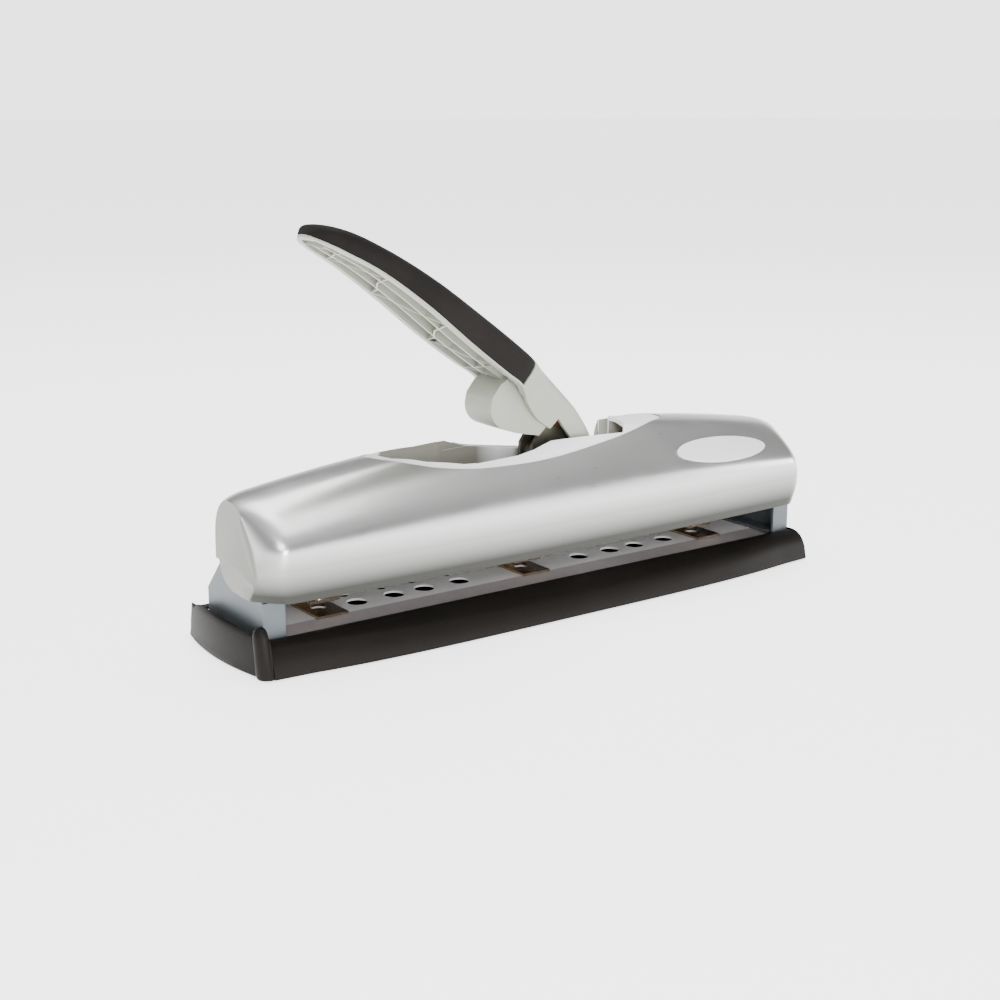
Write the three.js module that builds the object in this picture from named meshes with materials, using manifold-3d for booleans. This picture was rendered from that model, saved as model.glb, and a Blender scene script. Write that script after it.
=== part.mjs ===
// Desktop hole punch: three punch heads on a long steel die plate, pressed
// together by one bar, which a long hinged hand lever drives down.
// Millimetres. X runs along the punch, -Y faces the user, +Z is up.
// Everything is drawn about the middle punch, then moved so that the origin
// is the middle of the base on the desk.
import * as THREE from 'three';
import { mergeVertices } from 'three/addons/utils/BufferGeometryUtils.js';
import Module from 'manifold-3d';

const wasm = await Module();
wasm.setup();

// ---------------------------------------------------------------- sizes
const CENTRE_Y = 3.2;           // from the line of the middle punch to the base's middle
const GAP = 0.3;                // clearance between separate pieces

const BASE_HALF = 150;          // straight part of the base, each way in X
const BASE_BOW_X = 157.5;       // furthest reach of the bowed ends
const BASE_CORNER_X = 152.5;    // reach of the ends at their corners
const BASE_FRONT = -38;
const BASE_BACK = 38;
const BASE_BOW_Y = 6;           // extra bulge of the front in the middle
const FOOT_SKIN = 0.8;          // height of the base's underside on its feet
const FLOOR_TOP = 2.3;
const WALL_TOP = 14.2;
const END_WALL_TOP = 14.5;
const CAP_TOP = 17.6;

const PLATE_TOP = 12.2;
const PLATE_HALF = 149;
const PLATE_FRONT = -26.6;
const PLATE_FOLD = -9.5;        // the plate slopes down in front of this line
const PLATE_BACK = 29.6;
const APRON_DROP = 1.4;

const INCH = 25.4;
const PUNCH_Y = 1.25;
const LOCATOR_Y = 13;
const OUTER_HEAD_X = 4.25 * INCH;
const HOLE_X = [1.375, 2.125, 2.75, 3.5, 4.25].map((inches) => inches * INCH);
const HOLE_R = 4;
const LOCATOR_R = 2.6;

const HEAD_WIDTH = 15;
const HEAD_FRONT = -11.5;
const HEAD_BACK = 20;
const HEAD_WEB = 14;
const HEAD_TOP = 25;
const THROAT_LOW = PLATE_TOP + GAP + 1;
const THROAT_HIGH = 16.8;
const PIN_R = 3.4;
const PIN_BORE_R = 3.7;
const PIN_TIP = 17.2;
const PIN_TOP = 44.7;
const COLLAR_BOTTOM = 40.5;
const COLLAR_HEIGHT = 1.5;
const COLLAR_R = 6.2;
const SPRING_R = 5.1;
const WIRE_R = 0.45;
const SPRING_TURNS = 4;

const BAR_BOTTOM = 45;
const BAR_TOP = 53;
const BAR_HALF = 142;
const BAR_FRONT = -10.5;
const BAR_BACK = 5;
const GUIDE_X = 135;
const GUIDE_R = 2.5;
const GUIDE_BOTTOM = 33;

const CHEEK_OUTER = 148.2;
const CHEEK_THICK = 1.5;
const CHEEK_FRONT = -26;
const CHEEK_BACK = 23;
const CHEEK_FLANGE = 10;
const FRAME_BOTTOM = 45.5;
const FRAME_TOP = 55.5;
const FRAME_FRONT = -19.6;
const FRAME_BACK = 7;
const REAR_FOLD = [[23, 24], [9.4, 38.6]];   // y and z of the folds of the rear sheet
const SHEET = 1.5;

const COVER_HALF = 153;
const COVER_LEAN = 0.06;        // how much each end leans in per mm of height
const COVER_BOTTOM = 30;
const COVER_THICK = 2.2;
const COVER_END_R = 12;
const COVER_BACK = 13.5;
const COVER_MIDDLE_Y = -11;
const COVER_HALF_DEPTH = 24.5;
const COVER_HEIGHT = 37.5;
const CREST_RISE = 13.5;        // how much the crest arches up in the middle
const FRONT_BOW = 4;

const HAND_Y = -6;              // middle plane of the hand lever
const PIVOT = [24, 63];         // hinge of the hand lever, in X and Z
const DRIVE_R = 20;             // from the hinge to the drive pin
const DRIVE_ANGLE = 165;        // direction of the drive pin at rest, degrees
const PIVOT_R = 3;
const ROOT_HALF = 10.2;
const LINK_Y = -4;
const DRIVE_PIN_R = 2.5;
const BAR_PIN_R = 2;
const BAR_PIN_Z = 49;

// ---------------------------------------------------------------- solids
function toSolid(geometry) {
  const bare = geometry.clone();
  bare.deleteAttribute('normal');
  bare.deleteAttribute('uv');
  const merged = mergeVertices(bare, 1e-4);
  const mesh = new wasm.Mesh({
    numProp: 3,
    vertProperties: new Float32Array(merged.attributes.position.array),
    triVerts: new Uint32Array(merged.index.array),
  });
  return new wasm.Manifold(mesh);
}

function toGeometry(solid) {
  const mesh = solid.getMesh();
  const geometry = new THREE.BufferGeometry();
  geometry.setAttribute('position', new THREE.BufferAttribute(new Float32Array(mesh.vertProperties), 3));
  geometry.setIndex(new THREE.BufferAttribute(new Uint32Array(mesh.triVerts), 1));
  return geometry;
}

function box(x0, x1, y0, y1, z0, z1) {
  const geometry = new THREE.BoxGeometry(x1 - x0, y1 - y0, z1 - z0);
  geometry.translate((x0 + x1) / 2, (y0 + y1) / 2, (z0 + z1) / 2);
  return toSolid(geometry);
}

function rodZ(radius, x, y, z0, z1, sides = 24) {
  const geometry = new THREE.CylinderGeometry(radius, radius, z1 - z0, sides);
  geometry.rotateX(Math.PI / 2);
  geometry.translate(x, y, (z0 + z1) / 2);
  return toSolid(geometry);
}

function rodY(radius, x, z, y0, y1, sides = 24) {
  const geometry = new THREE.CylinderGeometry(radius, radius, y1 - y0, sides);
  geometry.translate(x, (y0 + y1) / 2, z);
  return toSolid(geometry);
}

function shapeOf(points) {
  return new THREE.Shape(points.map(([a, b]) => new THREE.Vector2(a, b)));
}

// an outline in X and Y, pushed up from z0 to z1
function prismZ(points, z0, z1) {
  const geometry = new THREE.ExtrudeGeometry(shapeOf(points), { depth: z1 - z0, bevelEnabled: false });
  geometry.translate(0, 0, z0);
  return toSolid(geometry);
}

// an outline in X and Z, pushed back from y0 to y1
function prismY(points, y0, y1) {
  const geometry = new THREE.ExtrudeGeometry(shapeOf(points), { depth: y1 - y0, bevelEnabled: false });
  geometry.rotateX(Math.PI / 2);
  geometry.translate(0, y1, 0);
  return toSolid(geometry);
}

// an outline in Y and Z, pushed along from x0 to x1
function prismX(points, x0, x1) {
  const geometry = new THREE.ExtrudeGeometry(shapeOf(points), { depth: x1 - x0, bevelEnabled: false });
  geometry.rotateZ(Math.PI / 2);
  geometry.rotateY(Math.PI / 2);
  geometry.translate(x0, 0, 0);
  return toSolid(geometry);
}

// a solid through a row of rings of [x, y, z], all with the same number of
// points; the end rings are filled as outlines in their axes a and b
function loft(rings, a, b) {
  const count = rings[0].length;
  const last = (rings.length - 1) * count;
  const index = [];
  for (let low = 0; low < last; low += count) {
    for (let i = 0; i < count; i += 1) {
      const j = (i + 1) % count;
      index.push(low + i, low + j, low + count + j, low + i, low + count + j, low + count + i);
    }
  }
  index.push(...capTriangles(rings[0], a, b, -1));
  index.push(...capTriangles(rings.at(-1), a, b, 1).map((i) => i + last));
  const geometry = new THREE.BufferGeometry();
  geometry.setAttribute('position', new THREE.BufferAttribute(new Float32Array(rings.flat(2)), 3));
  geometry.setIndex(volumeOf(rings.flat(), index) < 0 ? index.reverse() : index);
  return toSolid(geometry);
}

// the triangles that fill a ring, turning as the ring does (way 1) or not (-1)
function capTriangles(ring, a, b, way) {
  const outline = ring.map((p) => new THREE.Vector2(p[a], p[b]));
  const turn = Math.sign(THREE.ShapeUtils.area(outline)) * way;
  return THREE.ShapeUtils.triangulateShape(outline, []).flatMap((face) => {
    const area = THREE.ShapeUtils.area(face.map((i) => outline[i]));
    return area * turn > 0 ? face : [...face].reverse();
  });
}

function volumeOf(points, index) {
  let sum = 0;
  for (let t = 0; t < index.length; t += 3) {
    const [p, q, r] = [0, 1, 2].map((k) => new THREE.Vector3(...points[index[t + k]]));
    sum += p.dot(q.cross(r));
  }
  return sum;
}

function smooth(points, count) {
  const curve = new THREE.CatmullRomCurve3(
    points.map(([x, y]) => new THREE.Vector3(x, y, 0)), true, 'centripetal');
  return curve.getSpacedPoints(count).slice(0, count).map((p) => [p.x, p.y]);
}

// moves each point of an open outline sideways, to its left as it runs
function inset(points, distance) {
  return points.map((point, i) => {
    const before = points[Math.max(i - 1, 0)];
    const after = points[Math.min(i + 1, points.length - 1)];
    const dx = after[0] - before[0];
    const dy = after[1] - before[1];
    const size = Math.hypot(dx, dy);
    return [point[0] + (distance * dy) / size, point[1] - (distance * dx) / size];
  });
}

const lerp = (from, to, t) => from + (to - from) * t;

// ---------------------------------------------------------------- base
const BASE_SECTION = [
  // y, z, and how much of the front bulge the point takes
  [BASE_FRONT, FOOT_SKIN, 1], [-38.4, 3.2, 1], [-37.8, 6.2, 1], [-36, 9.2, 0.95],
  [-33, 11.8, 0.8], [-29.6, 13.6, 0.5], [-27.6, WALL_TOP, 0.2], [-27, WALL_TOP - 0.3, 0], [-27, 9.4, 0],
  [-24, 9.4, 0], [-24, FLOOR_TOP, 0], [26, FLOOR_TOP, 0], [26, 10.7, 0],
  [30, 10.7, 0], [30, WALL_TOP - 1, 0], [34, WALL_TOP - 1, 0], [37, 10, 0],
  [BASE_BACK, 6, 0], [BASE_BACK, FOOT_SKIN, 0],
];

function baseBody() {
  const rings = [];
  for (let i = 0; i <= 12; i += 1) {
    const x = lerp(-BASE_HALF, BASE_HALF, i / 12);
    const bow = BASE_BOW_Y * (1 - (x / BASE_HALF) ** 2);
    rings.push(BASE_SECTION.map(([y, z, share]) => [x, y - bow * share, z]));
  }
  let body = loft(rings, 1, 2);
  body = body.add(endBlock(1, END_WALL_TOP, BASE_HALF - 0.5));
  for (const [x, y] of FOOT_PLACES) {
    body = body.subtract(footBlock(x, y, GAP, FOOT_SKIN - 1, 1.6));
  }
  return body;
}

// the bowed end of the base: side is +1 for the right and -1 for the left
function endOutline(side, inner, pull) {
  const points = [[side * inner, BASE_BACK - pull], [side * inner, BASE_FRONT + pull]];
  for (let i = 0; i <= 12; i += 1) {
    const t = i / 12;
    const y = lerp(BASE_FRONT + pull, BASE_BACK - pull, t);
    const bulge = (1 - (2 * t - 1) ** 2) * (BASE_BOW_X - BASE_CORNER_X);
    const corner = Math.min(1, Math.min(t, 1 - t) * 16);
    const reach = BASE_CORNER_X + bulge - pull * 0.6 - inner;
    points.push([side * (inner + reach * Math.max(0.35, corner)), y]);
  }
  return points;
}

function endBlock(side, top, inner) {
  const levels = [[FOOT_SKIN, 0], [top * 0.35, 0.5], [top * 0.75, 1.9], [top, 3.2]];
  const rings = levels.map(([z, pull]) => endOutline(side, inner, pull).map(([x, y]) => [x, y, z]));
  return loft(rings, 0, 1);
}

const FOOT_PLACES = [[-122, -31], [122, -31], [-122, 32], [122, 32]];

function footBlock(x, y, grow, z0, z1) {
  return box(x - 11 - grow, x + 11 + grow, y - 4 - grow, y + 4 + grow, z0, z1);
}

function endCap() {
  const block = endBlock(-1, CAP_TOP, BASE_HALF + GAP);
  const groove = box(-BASE_HALF - 3.4, -BASE_HALF, BASE_FRONT + 12, BASE_BACK - 10,
    CAP_TOP - 3.4, CAP_TOP + 1);
  const post = rodZ(3.2, -BASE_HALF - 0.4, -29.5, 2, CAP_TOP + 3.4, 16)
    .intersect(box(-160, -BASE_HALF - GAP, -40, 40, 0, 40));
  return block.subtract(groove).add(post);
}

function chipDrawer() {
  const outer = box(-BASE_HALF, 141, -22, 24, FLOOR_TOP + GAP, 10.2);
  const inner = box(-BASE_HALF + 1.5, 139.5, -20.5, 22.5, FLOOR_TOP + GAP + 1.4, 12);
  return outer.subtract(inner);
}

function dieApron(y) {
  return y >= PLATE_FOLD ? 0 : (APRON_DROP * (PLATE_FOLD - y)) / (PLATE_FOLD - PLATE_FRONT);
}

function diePlate() {
  const top = [PLATE_BACK, PLATE_FOLD, PLATE_FRONT].map((y) => [y, PLATE_TOP - dieApron(y)]);
  const low = [PLATE_FRONT, PLATE_FOLD, PLATE_BACK].map((y) => [y, PLATE_TOP - dieApron(y) - 0.9]);
  let plate = prismX([...low, ...top], -PLATE_HALF, PLATE_HALF);
  for (const x of [...HOLE_X, 0, ...HOLE_X.map((value) => -value)]) {
    plate = plate.subtract(rodZ(HOLE_R, x, PUNCH_Y, 5, 20, 20));
    plate = plate.subtract(rodZ(LOCATOR_R, x, LOCATOR_Y, 5, 20, 12));
  }
  return plate;
}

function cheek(side) {
  const foot = PLATE_TOP + GAP;
  const outline = [
    [CHEEK_FRONT + 1, foot], [CHEEK_BACK + 1.4, foot], [CHEEK_BACK + 1.4, REAR_FOLD[0][1]],
    [10, 39.4], [4.6, 40], [3.2, FRAME_TOP - 1], [FRAME_FRONT + 4, FRAME_TOP - 1], [CHEEK_FRONT + 1, 43],
  ];
  const low = CHEEK_OUTER - CHEEK_THICK;
  const wall = prismX(outline, low, CHEEK_OUTER);
  const inner = CHEEK_OUTER - CHEEK_FLANGE;
  const sole = box(inner, CHEEK_OUTER, CHEEK_FRONT + 4, CHEEK_BACK - 3, foot, foot + CHEEK_THICK);
  const flange = box(inner, CHEEK_OUTER, CHEEK_FRONT, CHEEK_FRONT + CHEEK_THICK, foot, 29);
  const right = wall.add(sole).add(flange);
  return side > 0 ? right : right.mirror([1, 0, 0]);
}

function upperFrame() {
  const half = CHEEK_OUTER - CHEEK_THICK - 1.5;
  const outer = box(-half, half, FRAME_FRONT, FRAME_BACK, FRAME_BOTTOM, FRAME_TOP);
  const hollow = box(-half - 1, half + 1, FRAME_FRONT + SHEET, FRAME_BACK - SHEET,
    FRAME_BOTTOM - 1, FRAME_TOP - SHEET);
  const window = box(-50, 44, -16.8, 4.8, FRAME_TOP - 4, FRAME_TOP + 1);
  return outer.subtract(hollow).subtract(window);
}

// the folded sheet that closes the back, behind the punch heads
function rearFrame() {
  const half = CHEEK_OUTER - CHEEK_THICK - GAP;
  const foot = PLATE_TOP + GAP;
  const [[y1, z1], [y2, z2]] = REAR_FOLD;
  const outline = [
    [y1, foot], [y1 + SHEET, foot], [y1 + SHEET, z1 + 0.6], [y2 + 1.1, z2 + 1.1], [y2, z2], [y1, z1],
  ];
  return prismX(outline, -half, half);
}

// ---------------------------------------------------------------- cover
const COVER_PROFILE = [
  [-34.5, 30], [-35.5, 40], [-35.6, 49], [-34.2, 54], [-30, 59], [-24, 62.6], [-17, 65],
  [-8, 66.8], [0, 67.5], [6, 66.6], [10.6, 63.6], [13, 58.4], [COVER_BACK, 52], [COVER_BACK, 41],
];

// the lower edge of each end, from the back to the front
const END_FOOT = [[11.2, 41], [8.6, 36.5], [3, 32.6], [-6, 30.4], [-18, 30]];

// the outside of the cover at a place along it: each section is the end
// section, arched up and bowed out towards the middle
function coverSection(x) {
  const middle = 1 - (x / COVER_HALF) ** 2;
  return COVER_PROFILE.map(([y, z]) => {
    const up = THREE.MathUtils.clamp((z - 42) / 24, 0, 1);
    const front = THREE.MathUtils.clamp((-y - 6) / 28, 0, 1);
    return [y - FRONT_BOW * middle * front, z + CREST_RISE * middle * up ** 1.3];
  });
}

function coverRings(depth, stations = 22) {
  const rings = [];
  const half = COVER_HALF - depth;
  const places = [];
  for (let i = 0; i <= 4; i += 1) {
    const angle = ((i / 4) * 80 * Math.PI) / 180;
    const reach = half - COVER_END_R * (1 - Math.sin(angle));
    places.push([reach, COVER_END_R * (1 - Math.cos(angle))]);
  }
  places.reverse();
  const list = places.map(([x, pull]) => [-x, pull]);
  for (let i = 1; i < stations; i += 1) {
    list.push([lerp(-half + COVER_END_R, half - COVER_END_R, i / stations), 0]);
  }
  list.push(...places.reverse());
  for (const [x, pull] of list) {
    const outline = inset(coverSection(x), depth).map(([y, z]) => [
      lerp(y, COVER_MIDDLE_Y, pull / COVER_HALF_DEPTH), lerp(z, COVER_BOTTOM, pull / COVER_HEIGHT),
    ]);
    const open = depth > COVER_THICK / 2;
    outline[0][1] = open ? 20 : COVER_BOTTOM;
    outline.at(-1)[1] = open ? 20 : 41;
    if (!open) {
      const share = THREE.MathUtils.clamp((pull - 3) / 4, 0, 1);
      const shift = pull / COVER_HALF_DEPTH;
      const slope = (y) => lerp(COVER_BOTTOM, 41, (y + 34.5) / 48);
      outline.push(...END_FOOT.map(([y, z]) => [lerp(y, COVER_MIDDLE_Y, shift), lerp(slope(y), z, share)]));
    }
    rings.push(outline.map(([y, z]) => [x - Math.sign(x) * COVER_LEAN * (z - COVER_BOTTOM), y, z]));
  }
  return rings;
}

const coverBlock = (depth) => loft(coverRings(depth), 1, 2);

const OVAL = [
  [-84, 0], [-80, -9], [-66, -19.5], [-48, -25], [-27, -27], [-5, -27], [20, -24.5], [46, -19.5],
  [66, -12.5], [78, -6], [78, 0], [66, 7], [46, 9.6], [20, 10.4], [-20, 10.4], [-54, 10.2],
  [-74, 8.4], [-82, 5],
];
const WELL = [
  [-80, -1], [-76, -9], [-64, -17], [-48, -22.4], [-40, -23.4], [-40, 8.6], [-54, 8.6], [-72, 6.8], [-79, 4],
];
const ROOT_SLOT = [[-42, -23.4], [-20, -23.4], [-10, -22], [2, -18.8], [44, -18.8], [50, -12], [52, -4],
  [52, 8.8], [-42, 8.8]];

function grown(points, amount) {
  const cx = points.reduce((sum, p) => sum + p[0], 0) / points.length;
  const cy = points.reduce((sum, p) => sum + p[1], 0) / points.length;
  return points.map(([x, y]) => {
    const size = Math.hypot(x - cx, y - cy);
    return [x + ((x - cx) / size) * amount, y + ((y - cy) / size) * amount];
  });
}

const OVAL_LINE = smooth(OVAL, 44);
const FLOOR_Z = 59.4;
const POCKET = [[52, 2], [64, 1], [69, 4.5], [66, 8.2], [52, 8.8]];
const POCKET_Z = 67;

// the part of the back that is cut down behind the root of the lever
const NOTCH_LINE = [
  [-36.5, 78], [-34, 75.8], [-30, 74.6], [-26, 73.2], [-17, 73.2], [-10, 71], [22, 66.6], [52, 66.6],
];

function backNotch(drop) {
  const line = NOTCH_LINE.map(([x, z]) => [x, z - drop]);
  return prismY([...line, [52, 95], [-36.5, 95]], 6, 40);
}

function cover() {
  const shell = coverBlock(0).subtract(coverBlock(COVER_THICK));
  const oval = prismZ(grown(OVAL_LINE, GAP), 55, 90);
  return shell.subtract(oval).subtract(backNotch(0)).subtract(badgeSeat());
}

function topBezel() {
  const outside = coverBlock(0.4);
  const skin = outside.subtract(coverBlock(COVER_THICK + 0.4));
  const oval = prismZ(OVAL_LINE, 55, 90);
  const pan = prismZ(grown(WELL, 1.6), FLOOR_Z - 1.6, 90);
  const small = prismZ(grown(POCKET, 1.6), POCKET_Z - 1.6, 90);
  const inside = prismZ(WELL, FLOOR_Z, 95).add(prismZ(POCKET, POCKET_Z, 95));
  const slot = prismZ(ROOT_SLOT, 55, 95);
  return skin.intersect(oval).add(pan.add(small).intersect(outside).intersect(oval))
    .subtract(inside).subtract(slot).subtract(backNotch(0.4));
}

const BADGE_CENTRE = [96.5, -31.4, 63.9];
const BADGE_TILT = 40;          // how far its face leans forward from level, degrees
const BADGE_HALF = [29.5, 7.2];

function badgeColumn(grow) {
  const geometry = new THREE.CylinderGeometry(1, 1, 14, 32);
  geometry.rotateX(Math.PI / 2);
  geometry.scale(BADGE_HALF[0] + grow, BADGE_HALF[1] + grow, 1);
  geometry.rotateX(THREE.MathUtils.degToRad(BADGE_TILT));
  geometry.translate(...BADGE_CENTRE);
  return toSolid(geometry);
}

// a thin oval plate that follows the cover and stands a little proud of it
function badge() {
  return badgeColumn(0).intersect(coverBlock(-0.6)).subtract(coverBlock(0.7));
}

const badgeSeat = () => badgeColumn(GAP).subtract(coverBlock(1));

// ---------------------------------------------------------------- heads
function headFrame(x) {
  const low = PLATE_TOP + GAP;
  const outline = [
    [HEAD_FRONT, low], [HEAD_BACK, low], [HEAD_BACK, HEAD_TOP], [-7, HEAD_TOP], [-7, HEAD_TOP - 1.4],
    [HEAD_WEB, HEAD_TOP - 1.4], [HEAD_WEB, THROAT_HIGH + 1.4], [-4, THROAT_HIGH + 1.4],
    [-4, THROAT_HIGH], [HEAD_WEB, THROAT_HIGH], [HEAD_WEB, THROAT_LOW], [HEAD_FRONT, THROAT_LOW],
  ];
  const frame = prismX(outline, x - HEAD_WIDTH / 2, x + HEAD_WIDTH / 2);
  const latchBore = box(x - 3, x + 3, HEAD_BACK - 3, HEAD_BACK + 1, low - 1, HEAD_TOP + 1);
  return frame
    .subtract(rodZ(PIN_BORE_R + 0.1, x, PUNCH_Y, 10, THROAT_LOW + 1))
    .subtract(rodZ(PIN_BORE_R, x, PUNCH_Y, THROAT_LOW + 1, 30))
    .subtract(latchBore);
}

function punchPin(x) {
  const profile = [
    [0, PIN_TIP + 1.2], [PIN_R * 0.5, PIN_TIP + 0.9], [PIN_R, PIN_TIP], [PIN_R, PIN_TOP - 0.6],
    [PIN_R - 0.6, PIN_TOP], [0, PIN_TOP],
  ];
  const geometry = new THREE.LatheGeometry(profile.map(([r, z]) => new THREE.Vector2(r, z)), 24);
  geometry.rotateX(Math.PI / 2);
  geometry.translate(x, PUNCH_Y, 0);
  return toSolid(geometry);
}

function pinCollar(x) {
  const disc = rodZ(COLLAR_R, x, PUNCH_Y, COLLAR_BOTTOM, COLLAR_BOTTOM + COLLAR_HEIGHT);
  return disc.subtract(rodZ(PIN_BORE_R, x, PUNCH_Y, COLLAR_BOTTOM - 1, COLLAR_BOTTOM + 3));
}

class Coil extends THREE.Curve {
  constructor(radius, z0, z1, turns) {
    super();
    Object.assign(this, { radius, z0, z1, turns });
  }

  getPoint(t, target = new THREE.Vector3()) {
    const angle = t * this.turns * Math.PI * 2;
    const height = lerp(this.z0, this.z1, t);
    return target.set(this.radius * Math.cos(angle), this.radius * Math.sin(angle), height);
  }
}

function returnSpring(x) {
  const low = HEAD_TOP + GAP + WIRE_R;
  const high = COLLAR_BOTTOM - GAP - WIRE_R;
  const section = [];
  for (let i = 0; i < 6; i += 1) {
    const angle = (i / 6) * Math.PI * 2;
    section.push([WIRE_R * Math.cos(angle), WIRE_R * Math.sin(angle)]);
  }
  const geometry = new THREE.ExtrudeGeometry(shapeOf(section), {
    steps: SPRING_TURNS * 12, extrudePath: new Coil(SPRING_R, low, high, SPRING_TURNS), bevelEnabled: false,
  });
  geometry.translate(x, PUNCH_Y, 0);
  return toSolid(geometry);
}

// a sprung thumb tab behind each sliding head; its foot stands over the
// small hole that locates the head
function headLatch(x) {
  const stem = box(x - 2.6, x + 2.6, HEAD_BACK - 2.6, HEAD_BACK - 0.8, PLATE_TOP + 2 * GAP, HEAD_TOP + 1);
  const tab = box(x - 5, x + 5, HEAD_BACK - 9.4, HEAD_BACK - 2.1, HEAD_TOP + 0.7, HEAD_TOP + 2.3);
  return stem.add(tab);
}

// ---------------------------------------------------------------- press
function pressureBar() {
  const solid = box(-BAR_HALF, BAR_HALF, BAR_FRONT, BAR_BACK, BAR_BOTTOM, BAR_TOP);
  const reach = BAR_HALF - 14;
  const channel = box(-reach, reach, BAR_FRONT + 2, BAR_BACK - 2, BAR_BOTTOM + 2, BAR_TOP + 1);
  let bar = solid.subtract(channel);
  for (const side of [-1, 1]) {
    bar = bar.subtract(rodZ(GUIDE_R + GAP, side * GUIDE_X, LINK_Y, BAR_BOTTOM - 1, BAR_TOP + 1, 20));
  }
  return bar.subtract(rodY(BAR_PIN_R + GAP, drivePin()[0], BAR_PIN_Z, BAR_FRONT - 1, BAR_BACK + 1, 20));
}

function guidePost(side) {
  const x = side * GUIDE_X;
  const post = rodZ(GUIDE_R, x, LINK_Y, GUIDE_BOTTOM, FRAME_TOP - SHEET - GAP, 20);
  return post.add(rodZ(GUIDE_R + 1.2, x, LINK_Y, GUIDE_BOTTOM - 1, GUIDE_BOTTOM + 0.5, 20));
}

function drivePin() {
  const angle = (DRIVE_ANGLE * Math.PI) / 180;
  return [PIVOT[0] + DRIVE_R * Math.cos(angle), PIVOT[1] + DRIVE_R * Math.sin(angle)];
}

// hangs upright between the two steel levers; its lower slot leaves the bar's
// pin free to shift a little sideways
function driveLink() {
  const [x, z] = drivePin();
  const end = (from, cz, reach) => Array.from({ length: 11 }, (_, i) => {
    const angle = from + (i / 10) * Math.PI;
    return [x + 5 * Math.cos(angle), cz + reach * Math.sin(angle)];
  });
  const outline = [...end(0, z, 5), ...end(Math.PI, BAR_PIN_Z + 0.6, 1.6)];
  const slot = box(x - 3.4, x + 3.4, -20, 20, BAR_PIN_Z - BAR_PIN_R - 4, BAR_PIN_Z + BAR_PIN_R + GAP);
  return prismY(outline, LINK_Y - 3, LINK_Y + 3)
    .subtract(rodY(DRIVE_PIN_R + GAP, x, z, -20, 20, 20))
    .subtract(slot);
}

// ---------------------------------------------------------------- lever
// stations along the hand lever, from its nose to its root: the crest, the
// lower edge, and half the width, in the raised position
const LEVER = [
  { top: [-113.4, 173.7], low: [-114.0, 171.1], half: 5 },
  { top: [-108.4, 175.9], low: [-110.2, 168.7], half: 12 },
  { top: [-99.5, 174.2], low: [-103.5, 164.8], half: 16.5 },
  { top: [-83.6, 166.7], low: [-90.0, 157.1], half: 20 },
  { top: [-61.7, 153.8], low: [-69.7, 142.6], half: 22 },
  { top: [-36.8, 136.5], low: [-46.4, 123.8], half: 22 },
  { top: [-17.9, 122.7], low: [-28.9, 110.8], half: 21 },
  { top: [-9.0, 115.8], low: [-19.3, 104.1], half: 19.4 },
  { top: [-8.0, 115.0], low: [-18.3, 103.3], half: 19.2 },
  { top: [0.9, 107.6], low: [-12.2, 95.2], half: 14 },
  { top: [10.4, 98.8], low: [-6.0, 87.2], half: 12.8 },
  { top: [20.8, 88.4], low: [3.9, 80.3], half: 11.2 },
  { top: [29.4, 75.9], low: [11.9, 72.3], half: ROOT_HALF },
  { top: [34.2, 63.5], low: [12.5, 63.3], half: ROOT_HALF },
  { top: [31.8, 55.0], low: [16.9, 54.7], half: ROOT_HALF },
];
const GRIP_LAST = 7;
const GRIP_THICK = 2;

function leverRing(station, side, crown, drop) {
  const [tx, tz] = station.top;
  const [lx, lz] = station.low;
  const height = Math.hypot(tx - lx, tz - lz);
  const ux = (tx - lx) / height;
  const uz = (tz - lz) / height;
  const half = Math.max(station.half - side, 1);
  const tall = Math.max(height - crown, 1);
  const shape = [
    [-1, null], [-1, 0.5], [-0.94, 0.76], [-0.78, 0.9], [-0.45, 0.975], [0, 1],
    [0.45, 0.975], [0.78, 0.9], [0.94, 0.76], [1, 0.5], [1, null],
  ];
  return shape.map(([y, part]) => {
    const up = part === null ? drop : Math.max(part * tall, drop + 0.2);
    return [lx + ux * up, HAND_Y + y * half, lz + uz * up];
  });
}

function leverBlock(stations, side, crown, drop) {
  return loft(stations.map((station, i) => leverRing(station, side(i), crown(i), drop)), 1, 2);
}

function leverSolid(from, to, extra, drop) {
  const stations = LEVER.slice(from, to + 1);
  const under = (i) => extra + (from + i <= GRIP_LAST ? GRIP_THICK + GAP : 0);
  return leverBlock(stations, under, under, drop);
}

function handleBody() {
  const outside = leverSolid(0, LEVER.length - 1, 0, 0);
  const hollow = leverSolid(1, LEVER.length - 1, 2.2, -3);
  let body = outside.subtract(hollow);
  for (let i = 2; i < GRIP_LAST; i += 1) {
    body = body.add(leverRib(LEVER[i], LEVER[i + 1], i % 2 ? 1 : -1));
  }
  body = body.add(pushBlock());
  const near = HAND_Y - ROOT_HALF;
  const far = HAND_Y + ROOT_HALF;
  body = body.add(rodY(9.4, ...PIVOT, near, far, 28));
  const mouth = box(-4, 40, near + 2.2, far - 2.2, 40, 75);
  const notch = prismY([[7, 85.6], [-1, 78.6], [0, 66], [12, 62], [15.5, 75.2]], -40, 40);
  return body.subtract(mouth).subtract(notch).subtract(rodY(PIVOT_R + GAP, ...PIVOT, -40, 40, 24));
}

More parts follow.
